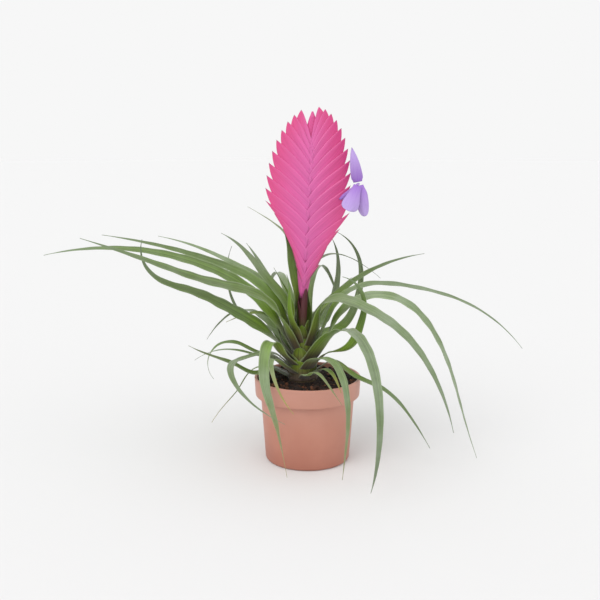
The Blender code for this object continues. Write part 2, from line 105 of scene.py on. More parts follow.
def smooth(value: Any) -> Any:
    """Ease from 0 to 1, for a number or an array."""
    value = np.clip(value, 0.0, 1.0)
    return value * value * (3 - 2 * value)


def source(value: Any) -> Any:
    """Let a node stand for its first output."""
    return value.outputs[0] if isinstance(value, bpy.types.Node) else value


def add_node(tree: bpy.types.NodeTree, kind: str, inputs: dict | None = None,
             stops: Sequence[Stop] = (), **settings: Any) -> bpy.types.Node:
    """Add a shader node with its settings, values and links.

    Args:
        tree: The node tree that gets the node.
        kind: The node's type without its ShaderNode prefix.
        inputs: A value, an output socket or a node, by input name or number.
        stops: Positions and hex colours of a colour ramp.
        settings: Attributes of the node.

    Returns:
        The new node.
    """
    made = tree.nodes.new("ShaderNode" + kind)
    for name, value in settings.items():
        setattr(made, name, value)
    for key, value in (inputs or {}).items():
        value = source(value)
        if isinstance(value, bpy.types.NodeSocket):
            tree.links.new(value, made.inputs[key])
        else:
            made.inputs[key].default_value = value
    for index, (place, code) in enumerate(stops):
        ramp = made.color_ramp.elements
        stop = ramp[index] if index < 2 else ramp.new(place)
        stop.position = place
        stop.color = linear(code)
    return made


def new_material(name: str, sockets: dict[str, Any]) -> tuple[bpy.types.Material, Adder]:
    """Make a dielectric material.

    Args:
        name: The material's name.
        sockets: Constant values of its Principled shader.

    Returns:
        The material, and add_node for its own tree.
    """
    material = bpy.data.materials.new(name)
    material.use_nodes = True
    shader = material.node_tree.nodes["Principled BSDF"]
    for key, value in {"IOR": 1.5, **sockets}.items():
        shader.inputs[key].default_value = value
    return material, partial(add_node, material.node_tree)


def layered(add: Adder, base: Any, *layers: tuple[Blend, Any, Any]) -> Any:
    """Lay colours over a base colour, one after the other.

    Args:
        add: The function that adds a node to the tree.
        base: The base colour's node.
        layers: Each layer's blend, share, and colour as a hex code or a node.

    Returns:
        The socket of the last layer.
    """
    for blend, share, colour in layers:
        paint = linear(colour) if isinstance(colour, str) else colour
        base = add("Mix", {0: share, 6: base, 7: paint}, data_type="RGBA",
                   blend_type=blend.value).outputs[2]
    return base


def dress(material: bpy.types.Material, colour: Any, relief: Any, strength: float,
          depth: float) -> bpy.types.Material:
    """Give a material's shader its colour and its fine relief.

    Args:
        material: The material.
        colour: The colour's node or socket.
        relief: The node that gives the relief's height.
        strength: How strongly the relief shows.
        depth: The relief's depth in millimetres.

    Returns:
        The same material.
    """
    tree = material.node_tree
    bump = add_node(tree, "Bump", {"Height": relief, "Strength": strength, "Distance": mm(depth)})
    for value, key in ((colour, "Base Color"), (bump, "Normal")):
        tree.links.new(source(value), tree.nodes["Principled BSDF"].inputs[key])
    return material


# Finishes

@dataclass(frozen=True)
class MouldedPolypropylene:
    """Injection-moulded polypropylene: soft satin, slightly mottled, with a faint grain."""

    # The mould's own grain is too fine to show, so it is drawn 0.7 mm coarse.
    stops: tuple[Stop, ...] = ((0.0, "#A66A58"), (0.9, "#C08A79"), (0.45, "#B87D6A"))
    roughness: float = 0.46
    pot_height: float = 72.0
    grain: float = 0.7
    grain_depth: float = 0.2
    mottle: float = 26.0

    def material(self) -> bpy.types.Material:
        """Build the pot's plastic, with painted shade: darker towards the foot and paler towards
        the rim.

        Returns:
            The material.
        """
        material, add = new_material("moulded_polypropylene",
                                     {"Roughness": self.roughness, "IOR": 1.49})
        place = add("TexCoord").outputs["Object"]
        # Painted shade: the colour runs from darker at the foot to paler at the rim, as light from
        # above falls on the wall.
        height = add("MapRange", {"Value": add("SeparateXYZ", {0: place}).outputs["Z"],
                                  "From Max": mm(self.pot_height)})
        mottle = add("TexNoise", {"Vector": place, "Scale": 1 / mm(self.mottle), "Detail": 3.0})
        shift = add("Math", {0: mottle, 1: 0.5, 2: -0.25}, operation="MULTIPLY_ADD")
        level = add("Math", {0: height, 1: shift}, operation="ADD")
        grain = add("TexNoise", {"Vector": place, "Scale": 1 / mm(self.grain)})
        tint = add("ValToRGB", {"Fac": level}, self.stops)
        return dress(material, tint, grain, 0.12, self.grain_depth)


@dataclass(frozen=True)
class DampPeat:
    """Damp peat and composted bark: nearly black, with rust-coloured crumbs."""

    stops: tuple[Stop, ...] = ((0.38, "#130C08"), (0.72, "#573422"), (0.55, "#2A1A11"))
    crumb: float = 2.2
    crumb_depth: float = 1.2

    def material(self) -> bpy.types.Material:
        """Build the soil's surface.

        Returns:
            The material.
        """
        material, add = new_material("damp_peat", {"Roughness": 0.92})
        place = add("TexCoord").outputs["Object"]
        crumbs = add("TexNoise", {"Vector": place, "Scale": 1 / mm(self.crumb), "Detail": 5.0,
                                  "Roughness": 0.7})
        tint = add("ValToRGB", {"Fac": crumbs}, self.stops)
        return dress(material, tint, crumbs, 0.9, self.crumb_depth)


@dataclass(frozen=True)
class BarkCrumb:
    """Chips of composted bark: dull, each a shade of rust or near black."""

    stops: tuple[Stop, ...] = ((0.1, "#120B07"), (0.95, "#7E4C30"), (0.45, "#2C1A11"),
                               (0.75, "#54321F"))
    grain: float = 1.1
    grain_depth: float = 0.6

    def material(self) -> bpy.types.Material:
        """Build the chips' bark, with one tone a chip from their tone attribute.

        Returns:
            The material.
        """
        material, add = new_material("composted_bark", {"Roughness": 0.88})
        tone = add("Attribute", attribute_name="tone").outputs["Fac"]
        place = add("TexCoord").outputs["Object"]
        grain = add("TexNoise", {"Vector": place, "Scale": 1 / mm(self.grain), "Detail": 3.0})
        shift = add("Math", {0: grain, 1: 0.5, 2: -0.25}, operation="MULTIPLY_ADD")
        level = add("Math", {0: tone, 1: shift}, operation="ADD")
        tint = add("ValToRGB", {"Fac": level}, self.stops)
        return dress(material, tint, grain, 0.6, self.grain_depth)


@dataclass(frozen=True)
class LeafCuticle:
    """Leathery leaf: a green cuticle under a grey bloom of scales, thickest on its upper face."""

    under: tuple[Stop, ...] = ((0.0, "#4E3C37"), (1.0, "#50681E"), (0.1, "#5C5034"),
                               (0.2, "#6E7C26"), (0.36, "#668410"), (0.62, "#547214"))
    upper: tuple[Stop, ...] = ((0.0, "#566828"), (1.0, "#748660"), (0.22, "#66841C"),
                               (0.45, "#668034"), (0.65, "#74875A"))
    tip: str = "#74826A"
    aged: str = "#968A3C"
    edge: str = "#96A680"
    bloom: str = "#9CA894"
    bloom_patch: float = 14.0
    vein_depth: float = 0.22

    def material(self) -> bpy.types.Material:
        """Build the leaf's skin from its mesh's attributes.

        Returns:
            The material.
        """
        material, add = new_material("leaf_cuticle", {"Roughness": 0.5, "IOR": 1.45,
                                                      "Sheen Weight": 0.25, "Sheen Roughness": 0.4})
        reach, along, across, upper, tone, age, lush = (
            add("Attribute", attribute_name=name).outputs["Fac"]
            for name in ("reach", "along", "across", "upper", "tone", "age", "lush"))
        place = add("TexCoord").outputs["Object"]
        # The scales are too fine to show one by one, so they are a pale, patchy bloom. Eight
        # streaks to half a leaf's width lie under a millimetre apart, as its veins do.
        # Painted shade: each leaf's shade share takes the pale scaly colour and the bloom off its
        # upper face, so leaves that face away from the light show a darker green.
        unshaded = add("Math", {0: lush, 1: -0.85, 2: 1.0}, operation="MULTIPLY_ADD")
        scaly = add("Math", {0: upper, 1: unshaded}, operation="MULTIPLY")
        wide = add("Math", {0: across, 1: 5.0}, operation="MULTIPLY")
        apart = add("Math", {0: tone, 1: 40.0}, operation="MULTIPLY")
        lane = add("CombineXYZ", {0: wide, 1: reach, 2: apart})
        stripe = add("TexNoise", {"Vector": lane, "Scale": 1.6, "Detail": 4.0, "Roughness": 0.65})
        band = add("MapRange", {"Value": stripe, "From Min": 0.3, "From Max": 0.7,
                                "To Min": 0.5, "To Max": 1.38})
        patch = add("TexNoise", {"Vector": place, "Scale": 1 / mm(self.bloom_patch), "Detail": 3.0})
        patchy = add("MapRange", {"Value": patch, "From Min": 0.35, "From Max": 0.7,
                                  "To Max": 0.42})
        spread = add("Math", {0: patchy, 1: reach}, operation="MULTIPLY")
        on_top = add("Math", {0: scaly, 1: 0.85, 2: 0.15}, operation="MULTIPLY_ADD")
        bloom = add("Math", {0: spread, 1: on_top}, operation="MULTIPLY")
        outward = add("Math", {0: across}, operation="ABSOLUTE")
        rim = add("MapRange", {"Value": outward, "From Min": 0.8, "To Max": 0.55})
        far = add("MapRange", {"Value": along, "From Min": 0.72, "To Max": 0.7})
        dry = add("MapRange", {"Value": along, "From Min": 0.55, "From Max": 0.95})
        old = add("Math", {0: dry, 1: age}, operation="MULTIPLY")
        lift = add("MapRange", {"Value": tone, "To Min": 0.85, "To Max": 1.12})
        under_tint, upper_tint = (add("ValToRGB", {"Fac": reach}, stops)
                                  for stops in (self.under, self.upper))
        tint = layered(add, under_tint, (Blend.COVER, scaly, upper_tint), (Blend.SHADE, 1.0, band),
                       (Blend.COVER, bloom, self.bloom), (Blend.COVER, rim, self.edge),
                       (Blend.COVER, far, self.tip), (Blend.COVER, old, self.aged),
                       (Blend.SHADE, 1.0, lift))
        veins = add("TexNoise", {"Vector": lane, "Scale": 5.0, "Detail": 2.0})
        return dress(material, tint, veins, 0.5, self.vein_depth)


@dataclass(frozen=True)
class BractSkin:
    """Waxy bract: satin pink with fine veins, lilac near the centre and greyed at its tip."""

    along: tuple[Stop, ...] = ((0.0, "#CC5D9E"), (1.0, "#9A7488"), (0.35, "#D05796"),
                               (0.7, "#D44E88"), (0.93, "#D44780"))
    hot: str = "#BE2A72"
    ripe: str = "#57402F"
    lip: str = "#DD6FAA"
    vein_depth: float = 0.28

    def material(self) -> bpy.types.Material:
        """Build the bract's skin from its mesh's attributes.

        Returns:
            The material.
        """
        material, add = new_material("waxy_bract", {"Roughness": 0.42, "IOR": 1.45,
                                                    "Sheen Weight": 0.15})
        along, across, rank, hot, ripe = (
            add("Attribute", attribute_name=name).outputs["Fac"]
            for name in ("along", "across", "rank", "hot", "ripe"))
        # Fifteen veins from keel to margin lie about a millimetre apart.
        wide = add("Math", {0: across, 1: 9.0}, operation="MULTIPLY")
        lane = add("CombineXYZ", {0: wide, 1: along, 2: rank})
        vein = add("TexNoise", {"Vector": lane, "Scale": 1.7, "Detail": 4.0, "Roughness": 0.6})
        band = add("MapRange", {"Value": vein, "From Min": 0.3, "From Max": 0.7,
                                "To Min": 0.86, "To Max": 1.1})
        lip = add("MapRange", {"Value": across, "From Min": 0.72, "To Max": 0.3})
        tint = layered(add, add("ValToRGB", {"Fac": along}, self.along),
                       (Blend.COVER, hot, self.hot), (Blend.SHADE, 1.0, band),
                       (Blend.COVER, lip, self.lip), (Blend.COVER, ripe, self.ripe))
        return dress(material, tint, vein, 0.6, self.vein_depth)


@dataclass(frozen=True)
class PetalTissue:
    """Thin crinkled petal: soft lavender, deeper at its claw and along its folds."""

    stops: tuple[Stop, ...] = ((0.0, "#9468C0"), (1.0, "#B8A0DA"), (0.5, "#A98ACC"))
    fold_depth: float = 0.4

    def material(self) -> bpy.types.Material:
        """Build the petal's tissue from the along and across attributes.

        Returns:
            The material.
        """
        material, add = new_material("petal_tissue", {"Roughness": 0.6, "IOR": 1.4,
                                                      "Sheen Weight": 0.3})
        along, across = (add("Attribute", attribute_name=name).outputs["Fac"]
                         for name in ("along", "across"))
        wide = add("Math", {0: across, 1: 4.0}, operation="MULTIPLY")
        lane = add("CombineXYZ", {0: wide, 1: along})
        fold = add("TexNoise", {"Vector": lane, "Scale": 1.8, "Detail": 4.0})
        shift = add("Math", {0: fold, 1: 0.7, 2: -0.35}, operation="MULTIPLY_ADD")
        level = add("Math", {0: along, 1: shift}, operation="ADD")
        tint = add("ValToRGB", {"Fac": level}, self.stops)
        return dress(material, tint, fold, 0.7, self.fold_depth)


@dataclass(frozen=True)
class StemSkin:
    """Stem of the plant: pale and fibrous at the soil, green above, wine-red on the scape."""

    stops: tuple[Stop, ...] = ((0.0, "#5A4436"), (1.0, "#5A2632"), (0.3, "#625C34"),
                               (0.55, "#60702C"), (0.8, "#5E3634"))
    from_height: float = 60.0
    to_height: float = 140.0
    fibre: float = 1.4
    fibre_depth: float = 0.4

    def material(self) -> bpy.types.Material:
        """Build the stem's skin, coloured by height.

        Returns:
            The material.
        """
        material, add = new_material("fibrous_stem", {"Roughness": 0.6})
        place = add("TexCoord").outputs["Object"]
        height = add("MapRange", {"Value": add("SeparateXYZ", {0: place}).outputs["Z"],
                                  "From Min": mm(self.from_height), "From Max": mm(self.to_height)})
        drawn_out = add("Mapping", {"Vector": place, "Scale": (1.0, 1.0, 0.12)})
        fibre = add("TexNoise", {"Vector": drawn_out, "Scale": 1 / mm(self.fibre)})
        band = add("MapRange", {"Value": fibre, "To Min": 0.75, "To Max": 1.2})
        tint = layered(add, add("ValToRGB", {"Fac": height}, self.stops), (Blend.SHADE, 1.0, band))
        return dress(material, tint, fibre, 0.5, self.fibre_depth)


@dataclass(frozen=True)
class StudioSweep:
    """Matt white paper under the plant."""

    colour: str = "#DCDCDC"

    def material(self) -> bpy.types.Material:
        """Build the paper."""
        return new_material("sweep_paper", {"Roughness": 0.9, "Base Color": linear(self.colour),
                                            "Specular IOR Level": 0.1})[0]


# Modelling helpers

def deselect() -> None:
    """Leave nothing selected, in object mode."""
    if bpy.context.object is not None and bpy.context.object.mode != "OBJECT":
        bpy.ops.object.mode_set(mode="OBJECT")
    for obj in bpy.context.selected_objects:
        obj.select_set(False)


def take(name: str) -> bpy.types.Object:
    """Name the active object and its mesh.

    Args:
        name: The name of both.

    Returns:
        The object.
    """
    obj = bpy.context.object
    obj.name = name
    obj.data.name = name
    return obj


def select_only(obj: bpy.types.Object) -> None:
    """Make one object the only selected one, and the active one.

    Args:
        obj: The object.
    """
    deselect()
    obj.select_set(True)
    bpy.context.view_layer.objects.active = obj


def seat_piece(obj: bpy.types.Object, material: bpy.types.Material, slot: str, *nodes: str) -> None:
    """Give a finished piece its material and body, and the nodes it stands for.

    Args:
        obj: The finished piece.
        material: Its finish.
        slot: The record's material slot; not used.
        nodes: CAD nodes that the piece replaces.
    """
    obj.data.materials.clear()
    obj.data.materials.append(material)
    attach(obj, ROOT)
    if nodes:
        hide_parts(*nodes)
    LOG.info("%s: %d faces", obj.name, len(obj.data.polygons))


def store(obj: bpy.types.Object, name: str, values: np.ndarray) -> None:
    """Store one number a vertex on a mesh under an attribute's name."""
    layer = obj.data.attributes.new(name, "FLOAT", "POINT")
    layer.data.foreach_set("value", np.ascontiguousarray(values, dtype=np.float32).ravel())


def stations(rows: int, columns: int, first: float = -1.0) -> tuple[np.ndarray, np.ndarray]:
    """Give shares along a blade, as a column, and places across it from the first to 1."""
    return np.linspace(0.0, 1.0, rows)[:, None], np.linspace(first, 1.0, columns)


def sheet(x: Any, y: Any, z: Any) -> np.ndarray:
    """Give a face's points from X, Y and Z over its rows and columns."""
    return np.stack(np.broadcast_arrays(x, y, z), axis=-1)


def round_axis(middle: Any, radius: Any, sweep: np.ndarray, height: np.ndarray) -> np.ndarray:
    """Give a face's points from their radius and angle round an upright axis at X = middle."""
    return sheet(middle + radius * np.cos(sweep), radius * np.sin(sweep), height)


def join(pieces: Sequence[bpy.types.Object], name: str) -> bpy.types.Object:
    """Join several objects into the first.

    Args:
        pieces: The objects.
        name: The name of the joined piece.

    Returns:
        The joined object.
    """
    select_only(pieces[0])
    for piece in pieces[1:]:
        piece.select_set(True)
    bpy.ops.object.join()
    return take(name)


def wrapped_blade(name: str, upper: np.ndarray, under: np.ndarray,
                  traits: dict[str, Any]) -> bpy.types.Object:
    """Model a thin closed blade from a grid primitive wrapped round both its faces.

    Args:
        name: The piece's name.
        upper: Points of the upper face in millimetres, rows along by columns across.
        under: Points of the under face, laid out the same way.
        traits: Attributes of both faces, each a number or an array over rows, columns or both.

    Returns:
        The blade's object, closed and smooth.
    """
    rows, columns = upper.shape[:2]
    around = np.concatenate([upper, under[:, ::-1], upper[:, :1]], axis=1)
    caps = [np.broadcast_to(around[end].mean(axis=0), around[end].shape)[None] for end in (0, -1)]
    points = np.concatenate([caps[0], around, caps[1]], axis=0) * mm(1.0)
    deselect()
    bpy.ops.mesh.primitive_grid_add(x_subdivisions=2 * columns, y_subdivisions=rows + 1, size=1.0)
    blade = take(name)
    blade.data.vertices.foreach_set("co", points.astype(np.float32).ravel())
    facing = np.repeat([Face.UPPER.value, Face.UNDER.value, Face.UPPER.value],
                       [columns, columns, 1])
    store(blade, "upper", np.broadcast_to(facing, points.shape[:2]))
    for key, values in traits.items():
        grid = np.broadcast_to(values, (rows, columns))
        ring = np.concatenate([grid, grid[:, ::-1], grid[:, :1]], axis=1)
        store(blade, key, np.concatenate([ring[:1], ring, ring[-1:]], axis=0))
    bpy.ops.object.mode_set(mode="EDIT")
    bpy.ops.mesh.select_all(action="SELECT")
    bpy.ops.mesh.remove_doubles(threshold=MERGE_DISTANCE)
    bpy.ops.mesh.normals_make_consistent(inside=False)
    bpy.ops.object.mode_set(mode="OBJECT")
    bpy.ops.object.shade_smooth()
    return blade


def turned(name: str, profile: Sequence[tuple[float, float]], sides: int) -> bpy.types.Object:
    """Turn a closed vessel: a disc whose face is extruded and scaled ring by ring.

    Args:
        name: The piece's name.
        profile: Radius and height of each ring in millimetres, from the foot's disc on.
        sides: Number of sides.

    Returns:
        The turned object.
    """
    radius, height = profile[0]
    deselect()
    bpy.ops.mesh.primitive_circle_add(vertices=sides, radius=mm(radius), fill_type="NGON",
                                      location=(0.0, 0.0, mm(height)))
    piece = take(name)
    bpy.ops.object.transform_apply(location=True, rotation=False, scale=False)
    bpy.ops.object.mode_set(mode="EDIT")
    bpy.ops.mesh.select_all(action="SELECT")
    for next_radius, next_height in profile[1:]:
        rise = (0.0, 0.0, mm(next_height - height))
        bpy.ops.mesh.extrude_region_move(TRANSFORM_OT_translate={"value": rise})
        share = next_radius / radius
        bpy.ops.transform.resize(value=(share, share, 1.0),
                                 center_override=(0.0, 0.0, mm(next_height)))
        radius, height = next_radius, next_height
    bpy.ops.mesh.select_all(action="SELECT")
    bpy.ops.mesh.normals_make_consistent(inside=False)
    bpy.ops.object.mode_set(mode="OBJECT")
    bpy.ops.object.shade_smooth_by_angle(angle=math.radians(30))
    return piece


# Pot and soil

@dataclass
class Pot:
    """The round grower's pot: a banded rim, a drafted wall, a rounded foot and drain holes."""

    rim_radius: float = 45.0
    height: float = 72.0
    band_height: float = 16.5
    band_foot_radius: float = 44.2
    wall: float = 1.5
    wall_top_radius: float = 39.6
    wall_foot_radius: float = 36.0
    foot_round: float = 2.4
    foot_steps: int = 8
    floor: float = 2.0
    drain_holes: int = 6
    drain_radius: float = 4.0
    drain_ring: float = 21.0
    drill_sides: int = 24
    sides: int = 160

    def profile(self) -> list[tuple[float, float]]:
        """List the rings from the base's disc up the outside, over the rim and down inside.

        Returns:
            Radius and height of each ring.
        """
        top, rim, foot = self.height, self.rim_radius, self.wall_foot_radius
        wall, band, step = self.wall_top_radius, self.band_foot_radius, top - self.band_height
        rings = [(foot - self.foot_round - 0.6, 0.0)]
        for number in range(self.foot_steps + 1):
            angle = math.radians(90 * number / self.foot_steps)
            rings.append((foot - self.foot_round * (1 - math.sin(angle)),
                          self.foot_round * (1 - math.cos(angle)) + 0.02))
        return rings + [
            (wall - 0.08, step - 2.4), (wall + 0.02, step - 1.3), (wall + 0.5, step - 0.7),
            (wall + 1.5, step - 0.1), (band - 0.5, step + 0.7), (band - 0.1, step + 1.2),
            (band, step + 1.8), (rim - 0.1, top - 1.6), (rim, top - 0.9), (rim - 0.15, top - 0.35),
            (rim - 0.55, top - 0.06), (rim - 1.1, top), (rim - 1.7, top - 0.08),
            (rim - 2.1, top - 0.5), (rim - self.wall - 0.9, top - 3.0),
            (band - self.wall - 1.0, step + 1.2), (wall - self.wall, step - 1.2),
            (foot - self.wall, self.floor + 1.5), (foot - self.wall - 1.5, self.floor)]

    def build(self, material: bpy.types.Material) -> None:
        """Turn the pot and drill its floor.

        Args:
            material: The pot's finish.
        """
        pot = turned("grower_pot", self.profile(), self.sides)
        for index in range(self.drain_holes):
            angle = math.tau * (index + 0.5) / self.drain_holes
            deselect()
            bpy.ops.mesh.primitive_cylinder_add(
                vertices=self.drill_sides, radius=mm(self.drain_radius), depth=mm(4 * self.floor),
                location=(mm(self.drain_ring) * math.cos(angle),
                          mm(self.drain_ring) * math.sin(angle), 0.0))
            drill = take("drill")
            select_only(pot)
            cut = pot.modifiers.new("Boolean", "BOOLEAN")
            cut.object, cut.operation, cut.solver = drill, "DIFFERENCE", "EXACT"
            bpy.ops.object.modifier_apply(modifier=cut.name)
            bpy.data.objects.remove(drill)
        seat_piece(pot, material, "pot", "pot")


@dataclass
class Soil:
    """The mound of peat in the pot, with loose chips of bark lying on it."""

    hole: float = 12.5
    edge: float = 42.0
    heart: float = 2.0
    middle_z: float = 69.0
    edge_z: float = 68.5
    foot_z: float = 40.0
    seed: int = 4
    chip_seed: int = 11
    wave: float = 0.6
    rough: float = 0.7
    rough_pitch: float = 0.45
    lump_count: int = 46
    lump_ring: tuple[float, float] = (19.0, 41.0)
    lump_reach: tuple[float, float] = (2.5, 5.0)
    lump_height: tuple[float, float] = (0.4, 2.4)
    chip_count: int = 520
    chip_lumpiness: float = 0.35
    small_share: float = 0.85
    small_size: tuple[float, float] = (0.5, 1.2)
    large_size: tuple[float, float] = (1.3, 2.3)
    sides: int = 200
    rings: int = 44
    lumps: list[tuple[float, float, float, float]] = field(default_factory=list)

    def scatter_lumps(self) -> None:
        """Lay out the low lumps: place, reach and height of each."""
        rng = random.Random(self.seed)
        for _ in range(self.lump_count):
            angle = rng.uniform(0, math.tau)
            radius = rng.uniform(*self.lump_ring)
            self.lumps.append((radius * math.cos(angle), radius * math.sin(angle),
                               rng.uniform(*self.lump_reach), rng.uniform(*self.lump_height)))

    def height_at(self, x: float, y: float) -> float:
        """Give the soil's height at a place, in millimetres.

        Args:
            x: Place along X in millimetres.
            y: Place along Y in millimetres.

        Returns:
            The height of the mound's surface.
        """
        radius = math.hypot(x, y)
        share = min(max((radius - self.hole) / (self.edge - self.hole), 0.0), 1.0)
        rise = self.middle_z + (self.edge_z - self.middle_z) * share
        rise += self.wave * math.sin(3 * math.atan2(y, x) + 1) * share
        swell = sum(height * math.exp(-((x - lx) ** 2 + (y - ly) ** 2) / reach ** 2)
                    for lx, ly, reach, height in self.lumps)
        rough = self.rough * noise.fractal(Vector((x, y, 0.0)) * self.rough_pitch, 1.0, 2.0, 4)
        fade = min(max((self.edge + 0.2 - radius) / 1.2, 0.0), 1.0)
        near = min(max((math.hypot(x - CROWN_X, y) - self.hole) / 2.0, 0.0), 1.0)
        return rise + (swell + rough) * fade * near

    def build(self, material: bpy.types.Material) -> None:
        """Turn the soil's body from its foot up the wall and in over the mound, then roughen it.

        Args:
            material: The soil's finish.
        """
        self.scatter_lumps()
        rings = [(33.5, self.foot_z), (37.4, 54.6), (self.edge - 0.3, 58.0),
                 (self.edge, self.edge_z - 0.6)]
        outer = self.edge - 0.1
        rings += [(outer - (outer - self.heart) * step / self.rings, self.edge_z)
                  for step in range(self.rings + 1)]
        soil = turned("soil_mound", rings, self.sides)
        for vertex in soil.data.vertices:
            x, y, z = (value * 1000.0 for value in vertex.co)
            if z > self.edge_z - 0.1:
                vertex.co.z = mm(self.height_at(x, y))
        seat_piece(soil, material, "soil", "soil")

    def build_chips(self, material: bpy.types.Material) -> None:
        """Model one chip of bark, and lay copies of it over the mound.

        Args:
            material: The chips' finish.
        """
        rng = random.Random(self.chip_seed)
        deselect()
        bpy.ops.mesh.primitive_ico_sphere_add(subdivisions=2, radius=1.0)
        chip = take("bark_chip")
        for vertex in chip.data.vertices:
            vertex.co *= 1.0 + self.chip_lumpiness * noise.noise(vertex.co * 1.3)
        chips = []
        for _ in range(self.chip_count):
            angle = rng.uniform(0, math.tau)
            radius = self.hole + 0.5 + (self.edge - self.hole - 2.5) * math.sqrt(rng.random())
            x, y = radius * math.cos(angle), radius * math.sin(angle)
            small = rng.random() < self.small_share
            size = rng.uniform(*(self.small_size if small else self.large_size))
            turn = Matrix.Rotation(rng.uniform(0, math.tau), 4,
                                   Vector((rng.gauss(0, 1), rng.gauss(0, 1), 1.0)))
            stretch = Matrix.Diagonal((mm(size) * rng.uniform(0.8, 1.7), mm(size),
                                       mm(size) * rng.uniform(0.4, 0.9), 1.0))
            spot = Matrix.Translation((mm(x), mm(y), mm(self.height_at(x, y) + 0.25 * size)))
            copy = chip.copy()
            copy.data = chip.data.copy()
            copy.data.transform(spot @ turn @ stretch)
            bpy.context.collection.objects.link(copy)
            store(copy, "tone", np.full(len(copy.data.vertices), rng.random() ** 1.4))
            chips.append(copy)
        bpy.data.objects.remove(chip)
        seat_piece(join(chips, "soil_bark_chips"), material, "soil")


# Leaves

@dataclass(frozen=True)
class LeafPlan:
    """One leaf: where it starts on the crown, how it runs, and how it has aged."""

    name: str
    heading: float
    turn: float
    seat: float
    length: float
    width: float
    roll: float
    climbs: tuple[float, ...]
    age: float = 0.0
    # Painted shade: how far the upper face is darkened towards green, for leaves that face away
    # from the light.
    lush: float = 0.15


